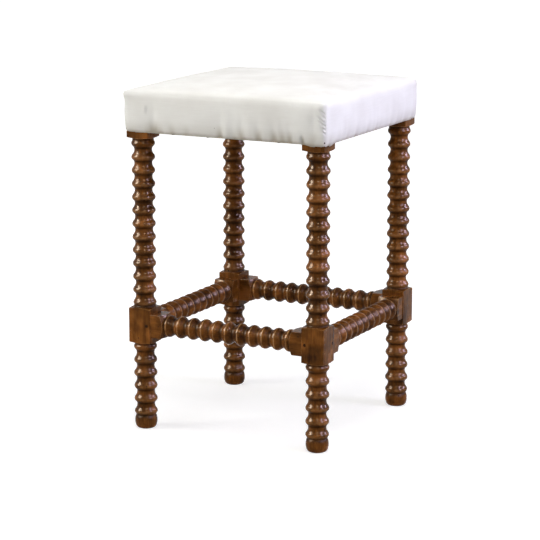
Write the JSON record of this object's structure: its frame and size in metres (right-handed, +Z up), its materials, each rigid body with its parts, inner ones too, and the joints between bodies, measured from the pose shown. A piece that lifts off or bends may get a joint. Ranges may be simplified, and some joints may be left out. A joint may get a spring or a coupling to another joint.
{
  "type": "bar stool",
  "caption": "Backless bar stool with bobbin-turned wooden legs and box stretchers and a square stuffed seat covered in plain calico.",
  "frame": {"origin": "on the floor, under the middle of the seat", "axes": "+Z up, front towards -Y, +X to the right seen from the front"},
  "size_m": [0.4602, 0.4602, 0.735],
  "materials": {
    "oak": "waxed",
    "frame_wood": "raw",
    "steel": "dull",
    "webbing": "woven",
    "hessian": "coarse woven",
    "stuffing": "fibrous",
    "wadding": "soft",
    "calico": "plain woven"
  },
  "bodies": {
    "root": {"leg_front_left": "oak", "leg_front_right": "oak", "leg_back_right": "oak", "leg_back_left": "oak", "stretcher_front": "oak", "stretcher_right": "oak", "stretcher_back": "oak", "stretcher_left": "oak", "seat_rail_front": "frame_wood", "seat_rail_right": "frame_wood", "seat_rail_back": "frame_wood", "seat_rail_left": "frame_wood", "corner_brace_front_left": "frame_wood", "corner_brace_front_right": "frame_wood", "corner_brace_back_right": "frame_wood", "corner_brace_back_left": "frame_wood", "stretcher_pegs": "oak", "rail_pegs": "oak", "brace_screws": "steel", "webbing_long_1": "webbing", "webbing_long_2": "webbing", "webbing_long_3": "webbing", "webbing_long_4": "webbing", "webbing_cross_1": "webbing", "webbing_cross_2": "webbing", "webbing_cross_3": "webbing", "webbing_cross_4": "webbing", "webbing_tacks": "steel", "hessian": "hessian", "seat_pad": "stuffing", "wadding": "wadding", "calico_cover": "calico", "cover_tacks": "steel", "seam_tacks": "steel"}
  },
  "joints": []
}
